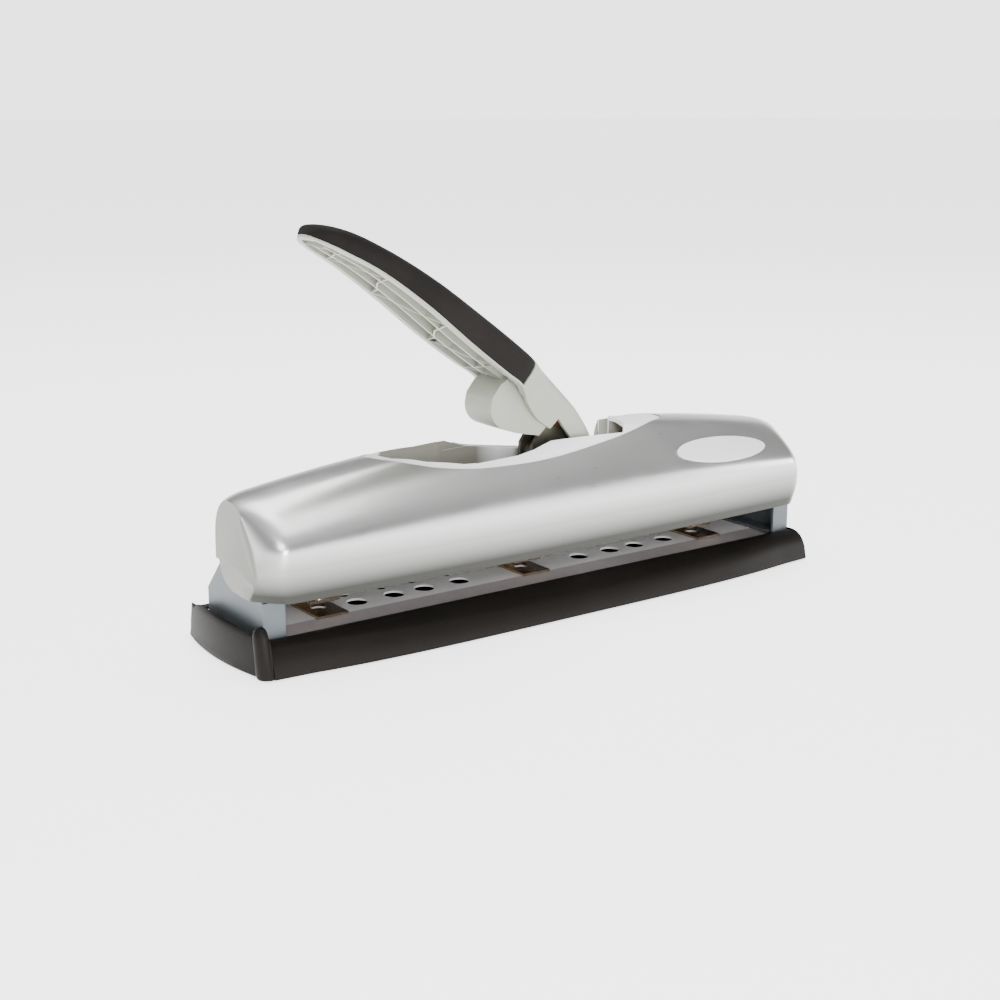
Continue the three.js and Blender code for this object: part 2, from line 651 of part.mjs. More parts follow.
// a slanting web across the hollow underside
function leverRib(from, to, turn) {
  const [near, far] = turn > 0 ? [from, to] : [to, from];
  const reach = (station) => station.half - GRIP_THICK - GAP - 1;
  const ring = (station, y) => {
    const [tx, tz] = station.top;
    const [lx, lz] = station.low;
    const size = Math.hypot(tx - lx, tz - lz);
    const at = (up, along) => [
      lx + ((tx - lx) / size) * up + along * 0.8, HAND_Y + y, lz + ((tz - lz) / size) * up - along * 0.6,
    ];
    const tall = size - GRIP_THICK - GAP - 1.2 - (Math.abs(y) > 1 ? size * 0.22 : 0);
    return [at(0.6, -0.8), at(0.6, 0.8), at(tall, 0.8), at(tall, -0.8)];
  };
  return loft([ring(near, -reach(near)), ring(far, reach(far))], 0, 2);
}

// the hollow block under the root that takes the load of the two steel levers
function pushBlock() {
  const outline = [
    [-28.4, 98.6], [-29.4, 93], [-28.4, 89], [-25.4, 85.4], [-16, 81.4], [-3, 78.8], [5, 86],
    [10, 94], [2, 102], [-14, 109], [-24, 104],
  ];
  const hollow = [
    [-25.8, 98], [-26.8, 93], [-24, 87.8], [-15, 83.8], [-8, 62], [30, 62], [12, 93],
    [4, 98], [-12, 105], [-21, 101],
  ];
  return prismY(outline, HAND_Y - ROOT_HALF, HAND_Y + ROOT_HALF)
    .subtract(prismY(hollow, HAND_Y - ROOT_HALF + 2.2, HAND_Y + ROOT_HALF - 2.2));
}

function grip() {
  const stations = LEVER.slice(0, GRIP_LAST + 1);
  const outside = leverBlock(stations, () => 0, () => 0, 1.1);
  const inside = leverSolid(0, GRIP_LAST + 1, -GAP, -1);
  return outside.subtract(inside);
}

// one of the two steel levers inside the root, each side of the drive link
function leverPlate(side) {
  const outline = [
    [31, 58], [31.6, 65], [25, 74], [14.5, 79.5], [8, 82.4], [3.6, 80], [-1.4, 73], [-1.8, 66.5],
    [1, 62.8], [8, 61], [16, 56.6], [25, 55.6],
  ];
  const low = side > 0 ? LINK_Y + 3.6 : LINK_Y - 5.6;
  return prismY(outline, low, low + 2)
    .subtract(rodY(PIVOT_R + GAP, ...PIVOT, -20, 20, 24))
    .subtract(rodY(DRIVE_PIN_R + GAP, ...drivePin(), -20, 20, 20));
}

function pivotBracket(side) {
  const inner = ROOT_HALF + 0.6;
  const base = FRAME_TOP + GAP;
  const wall = prismY([[13, base], [36, base], [36, 61], [31, 70], [18, 70], [13, 61]], inner, inner + SHEET);
  const foot = box(13, 36, inner, inner + 3.6, base, base + SHEET);
  const bracket = wall.add(foot).subtract(rodY(PIVOT_R + GAP, ...PIVOT, -30, 30, 24));
  return (side > 0 ? bracket : bracket.mirror([0, 1, 0])).translate(0, HAND_Y, 0);
}

// ---------------------------------------------------------------- materials
function finish(color, roughness, metalness) {
  return new THREE.MeshStandardMaterial({ color, roughness, metalness });
}

const SILVER = finish(0xc4c5c4, 0.38, 0.6);
const PALE_SILVER = finish(0xe6e6ea, 0.45, 0.3);
const BLACK = finish(0x322e2b, 0.5, 0);
const RUBBER = finish(0x37302e, 0.75, 0);
const LIGHT_PLASTIC = finish(0xb2b8aa, 0.5, 0);
const STEEL = finish(0xa9b0b0, 0.35, 0.9);
const DARK_STEEL = finish(0x3c3a34, 0.5, 0.8);
const BRONZE = finish(0xb59a72, 0.35, 0.9);
const BADGE = finish(0xdcdce0, 0.3, 0.7);

// ---------------------------------------------------------------- assembly
const punch = new THREE.Group();
punch.position.set(0, CENTRE_Y, 0);

function piece(name, solid, material) {
  const mesh = new THREE.Mesh(toGeometry(solid), material);
  mesh.name = name;
  punch.add(mesh);
}

piece('base_body', baseBody(), BLACK);
piece('chip_drawer', chipDrawer(), BLACK);
piece('drawer_end_cap', endCap(), BLACK);
FOOT_PLACES.forEach(([x, y], i) => {
  const name = ['foot_front_left', 'foot_front_right', 'foot_back_left', 'foot_back_right'][i];
  piece(name, footBlock(x, y, 0, 0, 1.3), RUBBER);
});
piece('die_plate', diePlate(), STEEL);
piece('cheek_left', cheek(-1), STEEL);
piece('cheek_right', cheek(1), STEEL);
piece('upper_frame', upperFrame(), STEEL);
piece('rear_frame', rearFrame(), STEEL);
piece('cover', cover(), SILVER);
piece('top_bezel', topBezel(), PALE_SILVER);
piece('badge_plate', badge(), BADGE);
piece('pressure_bar', pressureBar(), DARK_STEEL);
piece('guide_post_left', guidePost(-1), STEEL);
piece('guide_post_right', guidePost(1), STEEL);

const HEADS = [['left', -OUTER_HEAD_X], ['middle', 0], ['right', OUTER_HEAD_X]];
for (const [side, x] of HEADS) {
  piece(`head_frame_${side}`, headFrame(x), BRONZE);
  piece(`punch_pin_${side}`, punchPin(x), STEEL);
  piece(`pin_collar_${side}`, pinCollar(x), DARK_STEEL);
  piece(`return_spring_${side}`, returnSpring(x), STEEL);
  piece(`head_latch_${side}`, headLatch(x), BRONZE);
}

piece('handle_body', handleBody(), LIGHT_PLASTIC);
piece('handle_grip', grip(), RUBBER);
piece('lever_plate_front', leverPlate(-1), DARK_STEEL);
piece('lever_plate_back', leverPlate(1), DARK_STEEL);
piece('pivot_bracket_front', pivotBracket(-1), STEEL);
piece('pivot_bracket_back', pivotBracket(1), STEEL);
piece('pivot_pin', rodY(PIVOT_R, ...PIVOT, HAND_Y - 12.6, HAND_Y + 12.6, 24), STEEL);
piece('drive_pin', rodY(DRIVE_PIN_R, ...drivePin(), LINK_Y - 6.4, LINK_Y + 6.4, 20), STEEL);
piece('drive_link', driveLink(), DARK_STEEL);
piece('bar_pin', rodY(BAR_PIN_R, drivePin()[0], BAR_PIN_Z, BAR_FRONT, BAR_BACK, 20), STEEL);

export default punch;
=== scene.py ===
"""Looks of the hole punch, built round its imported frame.

Shapes are drawn in millimetres about the middle punch, as the frame is, and
then placed in metres: +X to the right end, -Y to the user, +Z up.
"""
import math

import bmesh
import bpy
import numpy as np
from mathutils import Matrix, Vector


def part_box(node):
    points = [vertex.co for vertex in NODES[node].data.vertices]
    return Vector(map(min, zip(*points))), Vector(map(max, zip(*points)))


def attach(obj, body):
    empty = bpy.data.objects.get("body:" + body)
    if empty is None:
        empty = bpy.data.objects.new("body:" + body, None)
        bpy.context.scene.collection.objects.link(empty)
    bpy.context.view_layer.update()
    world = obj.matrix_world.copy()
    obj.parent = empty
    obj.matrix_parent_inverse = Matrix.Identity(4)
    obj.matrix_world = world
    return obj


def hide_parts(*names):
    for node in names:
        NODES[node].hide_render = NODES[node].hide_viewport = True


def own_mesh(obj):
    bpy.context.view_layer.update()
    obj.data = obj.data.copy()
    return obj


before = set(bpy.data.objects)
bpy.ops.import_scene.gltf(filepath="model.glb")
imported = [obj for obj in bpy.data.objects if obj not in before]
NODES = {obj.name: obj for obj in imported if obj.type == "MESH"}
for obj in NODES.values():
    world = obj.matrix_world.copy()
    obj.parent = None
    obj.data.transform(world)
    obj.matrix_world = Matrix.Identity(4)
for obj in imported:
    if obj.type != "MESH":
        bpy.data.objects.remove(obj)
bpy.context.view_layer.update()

MM = 0.001
X, Y, Z = range(3)
INCH = 25.4
PUNCH_Y = 1.25                      # of the punches, in the drawing
GAP = 0.3                           # between two pieces that meet
SLIVER = 0.03                       # edges shorter than this are left-overs of a cut


def frame_box(node):
    """Lowest and highest corner of a node in the frame, in millimetres."""
    low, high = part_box(node)
    return [np.array((v.x / MM, v.y / MM, v.z / MM)) for v in (low, high)]


# y in the frame of the drawing's origin
CENTRE_Y = float(sum(frame_box("punch_pin_middle"))[Y]) / 2 - PUNCH_Y


def node_box(node):
    """Lowest and highest corner of a node in the drawing."""
    return [corner - (0, CENTRE_Y, 0) for corner in frame_box(node)]


# ------------------------------------------------------------------ materials
NOISE_MIDDLE = (0.3, 0.7)           # most of a noise lies between these
FACING = (0.93, 0.97)               # how squarely a side faces an axis, where facing() starts and is full


class Paint:
    """A Principled material with procedural detail in object space."""

    def __init__(self, name, color, roughness, metallic=0.0, **sockets):
        self.material = bpy.data.materials.new(name)
        self.material.use_nodes = True
        self.material.diffuse_color = (*color, 1)
        self.tree = self.material.node_tree
        self.shader = self.tree.nodes["Principled BSDF"]
        self.shader.inputs["Base Color"].default_value = (*color, 1)
        self.shader.inputs["Roughness"].default_value = roughness
        self.shader.inputs["Metallic"].default_value = metallic
        for socket, value in sockets.items():
            self.shader.inputs[socket.replace("_", " ")].default_value = value
        self.color = color
        self.bump = None
        self.coordinates = self.node("ShaderNodeTexCoord").outputs

    def node(self, kind, **inputs):
        node = self.tree.nodes.new(kind)
        for key, value in inputs.items():
            node.inputs[key].default_value = value
        return node

    def link(self, out, into):
        self.tree.links.new(out, into)

    def noise(self, scale, detail=3.0, stretch=(1, 1, 1)):
        """Noise with about `scale` waves to the metre, pulled out along an axis."""
        mapping = self.node("ShaderNodeMapping", Scale=stretch)
        self.link(self.coordinates["Object"], mapping.inputs["Vector"])
        noise = self.node("ShaderNodeTexNoise", Scale=scale, Detail=detail, Roughness=0.6)
        self.link(mapping.outputs["Vector"], noise.inputs["Vector"])
        return noise.outputs["Fac"]

    def ramp(self, value, start, end, low, high):
        """Runs from low to high while the value runs from start to end."""
        ramp = self.node("ShaderNodeMapRange")
        for socket, number in zip(("From Min", "From Max", "To Min", "To Max"), (start, end, low, high)):
            ramp.inputs[socket].default_value = number
        self.link(value, ramp.inputs["Value"])
        return ramp.outputs["Result"]

    def along(self, coordinate, axis):
        """One axis of the object's own places or normals."""
        split = self.node("ShaderNodeSeparateXYZ")
        self.link(self.coordinates[coordinate], split.inputs["Vector"])
        return split.outputs[axis]

    def spread(self, value, low, high):
        """Maps the middle of a noise on to low..high."""
        return self.ramp(value, *NOISE_MIDDLE, low, high)

    def fade(self, axis, start, end):
        """Runs from 0 to 1 between two places along an axis, in millimetres."""
        return self.ramp(self.along("Object", axis), start * MM, end * MM, 0.0, 1.0)

    def facing(self, axis, sign):
        """Is 1 on the sides that face along an axis and 0 on the others."""
        start, full = FACING
        return self.ramp(self.along("Normal", axis), start * sign, full * sign, 0.0, 1.0)

    def both(self, one, other):
        """The product of two values."""
        product = self.node("ShaderNodeMath")
        product.operation = "MULTIPLY"
        self.link(one, product.inputs[0])
        self.link(other, product.inputs[1])
        return product.outputs[0]

    def tint(self, value, other):
        """Colour runs from the base colour to another one with the value."""
        mix = self.tree.nodes.new("ShaderNodeMix")
        mix.data_type = "RGBA"
        base = self.shader.inputs["Base Color"]
        if base.is_linked:
            self.link(base.links[0].from_socket, mix.inputs[6])
        else:
            mix.inputs[6].default_value = (*self.color, 1)
        mix.inputs[7].default_value = (*other, 1)
        self.link(value, mix.inputs[0])
        self.link(mix.outputs[2], base)
        return self

    def rough(self, value, low, high):
        """The roughness varies with a noise."""
        self.link(self.spread(value, low, high), self.shader.inputs["Roughness"])
        return self

    def relief(self, value, height_mm):
        """A bump of this height, on top of the bumps that are there."""
        bump = self.node("ShaderNodeBump", Strength=1.0, Distance=height_mm * MM)
        self.link(value, bump.inputs["Height"])
        if self.bump:
            self.link(self.bump.outputs["Normal"], bump.inputs["Normal"])
        self.bump = bump
        self.link(bump.outputs["Normal"], self.shader.inputs["Normal"])
        return self


def silver_paint():
    """The cover's paint, with painted shade that makes it darker towards its lower edge and on its end
    faces.
    """
    paint = Paint("silver_paint", (0.56, 0.56, 0.555), 0.3, 0.85, Coat_Weight=0.3, Coat_Roughness=0.15)
    flakes = paint.noise(5200, 1.0)
    paint.tint(paint.spread(flakes, 0.0, 0.22), (0.74, 0.74, 0.74))
    paint.tint(paint.spread(paint.noise(9), 0.0, 0.08), (0.50, 0.50, 0.47))
    # painted shade and reflection: the skin darkens below its fold, and further towards its lower edge
    paint.tint(paint.fade("Z", 51, 44), (0.31, 0.31, 0.30))
    paint.tint(paint.fade("Z", 43, 33), (0.03, 0.03, 0.026))
    # painted shade: the end faces are the same paint, darkened as if turned away from the light
    for side in (-1, 1):
        paint.tint(paint.facing("X", side), (0.155, 0.155, 0.14))
    paint.rough(paint.noise(60), 0.27, 0.34)
    return paint.relief(flakes, 0.004).relief(paint.noise(420), 0.003).material


def pale_silver():
    """The tray's paint, with olive-dark painted shade on its back wall, left and right of the lever."""
    paint = Paint("pale_silver", (0.90, 0.90, 0.92), 0.42, 0.0)
    paint.tint(paint.spread(paint.noise(4800, 1.0), 0.0, 0.15), (0.96, 0.96, 0.97))
    # painted shade: the sides that face the front, on the back wall left of the well and right of the
    # slot, darkened as if in shadow
    for start, end, color in ((-8, -20, (0.20, 0.195, 0.165)), (49, 51, (0.36, 0.355, 0.30))):
        paint.tint(paint.both(paint.facing("Y", -1), paint.fade("X", start, end)), color)
    paint.rough(paint.noise(70), 0.38, 0.47)
    return paint.relief(paint.noise(3600, 2.0), 0.004).material


def black_plastic():
    paint = Paint("black_plastic", (0.007, 0.006, 0.005), 0.45, 0.0, Specular_IOR_Level=0.09)
    grain = paint.noise(2600, 4.0)
    paint.tint(paint.spread(paint.noise(35), 0.0, 0.5), (0.011, 0.009, 0.008))
    paint.rough(grain, 0.38, 0.52)
    return paint.relief(grain, 0.018).relief(paint.noise(300), 0.006).material


def rubber():
    paint = Paint("rubber", (0.006, 0.005, 0.0045), 0.62, 0.0, Specular_IOR_Level=0.1)
    grain = paint.noise(1900, 5.0)
    paint.tint(paint.spread(paint.noise(30), 0.0, 0.6), (0.013, 0.011, 0.010))
    paint.rough(grain, 0.6, 0.78)
    return paint.relief(grain, 0.03).material


def light_plastic():
    paint = Paint("light_plastic", (0.27, 0.285, 0.235), 0.46, 0.0, Subsurface_Weight=0.04)
    grain = paint.noise(3000, 3.0)
    paint.tint(paint.spread(paint.noise(40), 0.0, 0.35), (0.32, 0.335, 0.28))
    paint.rough(grain, 0.4, 0.52)
    return paint.relief(grain, 0.01).material


def sheet_steel(name, color, other, roughness, metallic, stretch):
    """Plated sheet with rolling marks along one axis and a cloudy tint."""
    steel = Paint(name, color, roughness, metallic)
    lines = steel.noise(60, 4.0, stretch)
    steel.tint(steel.spread(steel.noise(26, 4.0), 0.0, 0.6), other)
    steel.rough(lines, roughness - 0.08, roughness + 0.1)
    return steel.relief(lines, 0.006).material


def plate_steel():
    """Plated sheet, with painted shade on the apron that slopes down to the front."""
    paint = Paint("plate_steel", (0.86, 0.83, 0.82), 0.45, 0.1)
    lines = paint.noise(60, 4.0, (1, 30, 30))
    paint.tint(paint.spread(paint.noise(26, 4.0), 0.0, 0.6), (0.92, 0.90, 0.89))
    # painted shade on the apron, which lies in the shadow under the cover
    paint.tint(paint.fade("Y", -5.6, -6.8), (0.46, 0.42, 0.42))
    paint.rough(lines, 0.38, 0.52)
    return paint.relief(lines, 0.006).material


def bronze():
    paint = Paint("bronze_zinc", (0.50, 0.39, 0.27), 0.22, 1.0)
    paint.tint(paint.spread(paint.noise(120, 4.0), 0.0, 0.5), (0.66, 0.52, 0.40))
    paint.tint(paint.spread(paint.noise(70, 3.0), 0.0, 0.5), (0.20, 0.15, 0.10))
    paint.rough(paint.noise(300), 0.2, 0.27)
    return paint.relief(paint.noise(900, 2.0), 0.001).material


def bright_steel():
    paint = Paint("bright_steel", (0.66, 0.66, 0.65), 0.2, 1.0)
    lines = paint.noise(80, 3.0, (1, 1, 40))
    paint.rough(lines, 0.14, 0.28)
    return paint.relief(lines, 0.002).material


def badge_silver():
    paint = Paint("badge_silver", (0.93, 0.93, 0.94), 0.34, 0.25)
    paint.rough(paint.noise(60, 4.0, (1, 40, 40)), 0.3, 0.38)
    return paint.relief(paint.noise(2400, 2.0), 0.002).material


SILVER = silver_paint()
PALE = pale_silver()
BLACK = black_plastic()
RUBBER = rubber()
PLASTIC = light_plastic()
ZINC = sheet_steel("zinc_steel", (0.095, 0.11, 0.12), (0.125, 0.14, 0.15), 0.42, 0.5, (1, 30, 30))
PLATE = plate_steel()
DARK = sheet_steel("dark_steel", (0.10, 0.095, 0.07), (0.16, 0.15, 0.12), 0.45, 0.9, (30, 30, 1))
BRONZE = bronze()
BRIGHT = bright_steel()
BADGE = badge_silver()


# ------------------------------------------------------------------ meshes
def lerp(a, b, t):
    return a + (b - a) * t


def share(value, start, end):
    """How far the value is on its way from start to end, from 0 to 1."""
    return np.clip((value - start) / (end - start), 0, 1)


def fine(points, steps, closed=False):
    """A smooth curve through the points, with `steps` pieces between each two."""
    p = np.array(points, float)
    ends = (p[-1:], p[:1], p[1:2]) if closed else (2 * p[:1] - p[1:2], 2 * p[-1:] - p[-2:-1], p[:0])
    q = np.concatenate([ends[0], p, ends[1], ends[2]])
    out = []
    for i in range(1, len(q) - 2):
        a, b, c, d = q[i - 1:i + 3]
        # centripetal knots: the curve makes no loop where two points lie close
        steps_between = [max(np.linalg.norm(v), 1e-6) ** 0.5 for v in (b - a, c - b, d - c)]
        knots = np.cumsum([0] + steps_between)
        for s in range(steps):
            t = lerp(knots[1], knots[2], s / steps)
            ab, bc, cd = (mixed(u, v, t, knots[k], knots[k + 1]) for k, (u, v) in
                          enumerate(((a, b), (b, c), (c, d))))
            abc = mixed(ab, bc, t, knots[0], knots[2])
            bcd = mixed(bc, cd, t, knots[1], knots[3])
            out.append(mixed(abc, bcd, t, knots[1], knots[2]))
    return np.array(out if closed else out + [p[-1]])


def mixed(u, v, t, start, end):
    """Runs from u to v while t runs from start to end."""
    return (u * (end - t) + v * (t - start)) / (end - start)


def new_object(name, points, faces):
    mesh = bpy.data.meshes.new(name)
    mesh.from_pydata([tuple(float(c) for c in v) for v in points], [], faces)
    mesh.validate()
    obj = bpy.data.objects.new(name, mesh)
    bpy.context.scene.collection.objects.link(obj)
    bm = bmesh.new()
    bm.from_mesh(mesh)
    bmesh.ops.recalc_face_normals(bm, faces=bm.faces)
    if bm.calc_volume(signed=True) < 0:
        bmesh.ops.reverse_faces(bm, faces=bm.faces)
    bm.to_mesh(mesh)
    bm.free()
    return obj


def loft(name, rings, closed=False):
    """A solid through rings of equally many points; closed joins the last to the first."""
    count = len(rings[0])
    faces = []
    for k in range(len(rings) if closed else len(rings) - 1):
        low, high = k * count, (k + 1) % len(rings) * count
        for i in range(count):
            j = (i + 1) % count
            faces.append((low + i, low + j, high + j, high + i))
    if not closed:
        faces.append(tuple(range(count - 1, -1, -1)))
        last = (len(rings) - 1) * count
        faces.append(tuple(range(last, last + count)))
    return new_object(name, np.concatenate([np.array(r, float) for r in rings]), faces)


def prism(name, outline, low, high, axis):
    """An outline pushed along an axis: its points are in the two other axes, in order."""
    rings = []
    for level in (low, high):
        rings.append([np.insert(np.array(p, float), axis, level) for p in outline])
    return loft(name, rings)


def box(name, x0, x1, y0, y1, z0, z1):
    return prism(name, [(x0, y0), (x1, y0), (x1, y1), (x0, y1)], z0, z1, Z)


def circle(cx, cy, radius, sides=48):
    angles = [2 * math.pi * i / sides for i in range(sides)]
    return [(cx + radius * math.cos(a), cy + radius * math.sin(a)) for a in angles]


def combine(obj, operation, others, solver="MANIFOLD"):
    """Joins others to obj, or cuts them from it, and removes them."""
    for other in others:
        modifier = obj.modifiers.new("combine", "BOOLEAN")
        modifier.operation = operation
        modifier.solver = solver
        modifier.object = other
        graph = bpy.context.evaluated_depsgraph_get()
        mesh = bpy.data.meshes.new_from_object(obj.evaluated_get(graph))
        obj.modifiers.clear()
        obj.data = mesh
        bpy.data.objects.remove(other)
    return obj


def cut(obj, *others, **options):
    return combine(obj, "DIFFERENCE", others, **options)


def join(obj, *others):
    return combine(obj, "UNION", others)


def common(obj, *others):
    return combine(obj, "INTERSECT", others)


def soften(obj, width_mm, angle=35, segments=3):
    """Rounds the edges sharper than the angle and shades the rest smooth."""
    obj.data.shade_smooth()
    obj.data.set_sharp_from_angle(angle=math.radians(angle))
    if width_mm:
        bevel = obj.modifiers.new("soft_edges", "BEVEL")
        bevel.width = width_mm * MM
        bevel.segments = segments
        bevel.limit_method = "ANGLE"
        bevel.angle_limit = math.radians(angle)
        bevel.harden_normals = True


def finish_piece(obj, body, material, nodes, bevel_mm=0.3, angle=35):
    """Puts a drawn piece in its place, on its body, in its material."""
    points = np.zeros(len(obj.data.vertices) * 3, np.float32)
    obj.data.vertices.foreach_get("co", points)
    points = points.reshape(-1, 3)
    points = (points + (0, CENTRE_Y, 0)) * MM
    obj.data.vertices.foreach_set("co", points.astype(np.float32).ravel())
    bm = bmesh.new()
    bm.from_mesh(obj.data)
    bmesh.ops.remove_doubles(bm, verts=bm.verts, dist=SLIVER * MM)
    bmesh.ops.dissolve_degenerate(bm, edges=bm.edges, dist=SLIVER * MM)
    bm.to_mesh(obj.data)
    bm.free()
    obj.data.update()
    obj.data.materials.clear()
    obj.data.materials.append(material)
    soften(obj, bevel_mm, angle)
    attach(obj, body)
    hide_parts(*nodes)
    return obj


def dress(nodes, material, bevel_mm=0.25, angle=35):
    """Keeps the frame's own pieces, with softened edges and a material."""
    for node in nodes:
        obj = NODES[node]
        obj.data.materials.clear()
        obj.data.materials.append(material)
        soften(obj, bevel_mm, angle)


# ------------------------------------------------------------------ cover
# y and z of the skin at the ends, from the front over the crest to the back,
# and of the flat face that closes each end, point for point
COVER_PROFILE = [
    (-34.5, 30), (-35.4, 40), (-35.6, 48), (-35.0, 51.8), (-32.6, 55), (-27, 59.3), (-21, 62.8),
    (-14, 65.5), (-7, 67), (0, 67.5), (6, 66.6), (10.6, 63.6), (13, 58.4), (13.5, 52), (13.5, 41),
]
END_FACE = [
    (-31, 30), (-28.6, 38.4), (-23.6, 46.6), (-21.2, 50.4), (-19, 53.8), (-16.4, 58), (-14, 61.6),
    (-11.4, 64.4), (-6.6, 66.1), (-1, 66.7), (3.6, 65.4), (7.2, 62), (9.2, 57.2), (9.6, 51.4), (8.6, 41),
]
FACE_MIDDLE = (-10, 50)
FACE_INSET = 0.25                   # share of the way to its middle at which a ring steadies the face
# y and z of the lower edge of that face, from the back to the front
END_FOOT = [(11.2, 41), (8.6, 36.5), (3, 32.6), (-6, 30.4), (-18, 30), (-26, 30)]
COVER_HALF = 153
COVER_LEAN = 0.06                   # the ends lean in by this much for each millimetre up
COVER_BOTTOM = 30
COVER_BACK_BOTTOM = 41
COVER_THICK = 2.2
COVER_STATIONS = 97                 # along the straight part
HOLLOW_DROP = 10                    # the hollow runs this far below the lower edge, to cut it open
CREST_RISE = 13.5                   # how much higher the crest is in the middle than at the ends
CREST_SPAN = (42, 66)               # heights between which the rise sets in
FRONT_BOW = 4                       # how far the front bows out in the middle
BOW_SPAN = (-6, -34)                # y between which the bow sets in
END_ROUND = 12                      # rounding between the cover's front and its ends
END_SPARE = 2                       # how much thicker its ends are than its skin
END_TURN = 66                       # degrees it turns through, up to the crease round the end face
END_STEPS = 9
END_TUCK = 7                        # how far the lower front corners curl in
TUCK_HEIGHTS = (46, 30)             # z, y and x between which the curl sets in
TUCK_FRONT = (-24, -31)
TUCK_LENGTH = (125, 150)
FOOT_SPAN = (0.3125, 0.9375)        # shares of the rounding between which the lower edge drops to the foot
FOOT_SHRINK = 0.75                  # how the foot narrows and moves, up to the end face
FOOT_SHIFT = 2.8


def cover_section(x, depth, profile):
    """The profile at one place along the cover, moved in by depth: a row of y and z."""
    middle = 1 - (x / COVER_HALF) ** 2
    y, z = fine(profile, 5).T
    rise = CREST_RISE * middle * share(z, *CREST_SPAN) ** 1.3
    out = np.stack([y - FRONT_BOW * middle * share(y, *BOW_SPAN), z + rise], axis=1)
    way = np.gradient(out, axis=0)
    way /= np.linalg.norm(way, axis=1)[:, None]
    return out + depth * np.stack([way[:, 1], -way[:, 0]], axis=1)


def cover_places(half):
    """Places along the cover, each with how far the rounding of its end has turned there, from 0 to 1."""
    places = [(x, 0) for x in np.linspace(-half + END_ROUND, half - END_ROUND, COVER_STATIONS)]
    for step in range(1, END_STEPS + 1):
        angle = math.radians(END_TURN * step / END_STEPS)
        x = half - END_ROUND * (1 - math.sin(angle))
        turned = (1 - math.cos(angle)) / (1 - math.cos(math.radians(END_TURN)))
        places.append((x, turned))
        places.insert(0, (-x, turned))
    return places


def cover_foot(turned):
    """The lower edge from the back to the front: a plain slope, and the end face's foot at the end."""
    y, z = np.array(END_FOOT, float).T
    front, back = COVER_PROFILE[0][0], COVER_PROFILE[-1][0]
    slope = lerp(COVER_BOTTOM, COVER_BACK_BOTTOM, (y - front) / (back - front))
    return lerp(y, y * FOOT_SHRINK - FOOT_SHIFT, turned), lerp(slope, z, share(turned, *FOOT_SPAN))


def cover_ring(x, y, z, tuck=0):
    """The points of one ring, which leans in towards the middle, and by tuck more."""
    lean = x - np.sign(x) * (COVER_LEAN * (z - COVER_BOTTOM) + tuck)
    return np.stack([lean, y, z], axis=1)


def cover_block(name, depth):
    """The cover's filled outside, or with a depth over half its skin's thickness its hollow."""
    hollow = depth > COVER_THICK / 2
    places = cover_places(COVER_HALF - depth - (END_SPARE if hollow else 0))
    rings = []
    for x, turned in places:
        section, face = (cover_section(x, depth, profile) for profile in (COVER_PROFILE, END_FACE))
        y, z = lerp(section, face, turned).T
        if hollow:
            z[0] = z[-1] = COVER_BOTTOM - HOLLOW_DROP
        else:
            z[0], z[-1] = COVER_BOTTOM, COVER_BACK_BOTTOM
            foot_y, foot_z = cover_foot(turned)
            y, z = np.append(y, foot_y), np.append(z, foot_z)
        low_front = share(z, *TUCK_HEIGHTS) ** 1.5 * share(y, *TUCK_FRONT)
        rings.append(cover_ring(x, y, z, END_TUCK * low_front * share(abs(x), *TUCK_LENGTH) ** 2))
        if x in (places[0][0], places[-1][0]):
            inset = cover_ring(x, lerp(y, FACE_MIDDLE[0], FACE_INSET), lerp(z, FACE_MIDDLE[1], FACE_INSET))
            rings.insert(len(rings) if x > 0 else 0, inset)
    return loft(name, rings)


# the tray round the lever, seen from above: its outline, its well and the lever's slot
OVAL = [
    (-84, 0), (-80, -9), (-66, -19.5), (-48, -25), (-27, -27), (-5, -27), (20, -24.5), (46, -19.5),
    (66, -12.5), (78, -6), (78, 0), (66, 7), (46, 9.6), (20, 10.4), (-20, 10.4), (-54, 10.2),
    (-74, 8.4), (-82, 5),
]
WELL = [
    (-80, -1), (-76, -9), (-64, -17), (-48, -22.4), (-40, -23.4), (-40, 8.6), (-54, 8.6), (-72, 6.8),
    (-79, 4),
]
ROOT_SLOT = [
    (-42, -23.4), (-20, -23.4), (-10, -22), (2, -18.8), (44, -18.8), (50, -12), (52, -4),
    (52, 8.8), (-42, 8.8),
]
WELL_FLOOR = 59.4
# a shallow pocket right of the slot, and x and z of the line down to which the tray's back is cut
POCKET = [(52, 2), (64, 1), (69, 4.5), (66, 8.2), (52, 8.8)]
POCKET_FLOOR = 67
NOTCH_LINE = [
    (-50, 81), (-42, 78.4), (-34, 75.6), (-27, 73.4), (-18, 71.8), (-8, 70.2), (22, 66.6), (52, 66.6),
]
TRAY_SINK = 0.4                     # how far the tray lies under the cover's skin
TRAY_WALL = 1.6
FENCE = (-42, 53, 8.9, 10.3, 60, 90)  # the wall behind the slot, from and to in x, y and z
TOP_SPAN = (55, 90)                 # from below the cover's top to above it
ABOVE = 95                          # over everything on the cover


def grown(points, amount):
    """Moves each point of a closed outline away from its middle."""
    p = np.array(points, float)
    away = p - p.mean(axis=0)
    return p + away / np.linalg.norm(away, axis=1)[:, None] * amount


def back_notch(name, drop):
    """Clears the back of the cover and the tray down to the notch's line, less the drop."""
    line = fine([(x, z - drop) for x, z in NOTCH_LINE], 3)
    return prism(name, [*line, (NOTCH_LINE[-1][0], ABOVE), (NOTCH_LINE[0][0], ABOVE)], 6, 40, Y)


BADGE_CENTRE = (96.5, -31.4, 63.9)
BADGE_TILT = 40                     # degrees
BADGE_HALF = (29.5, 7.2)
BADGE_PROUD = 0.6                   # how far it stands out of the cover, and reaches in
BADGE_DEPTH = 0.7
SEAT_DEPTH = 1


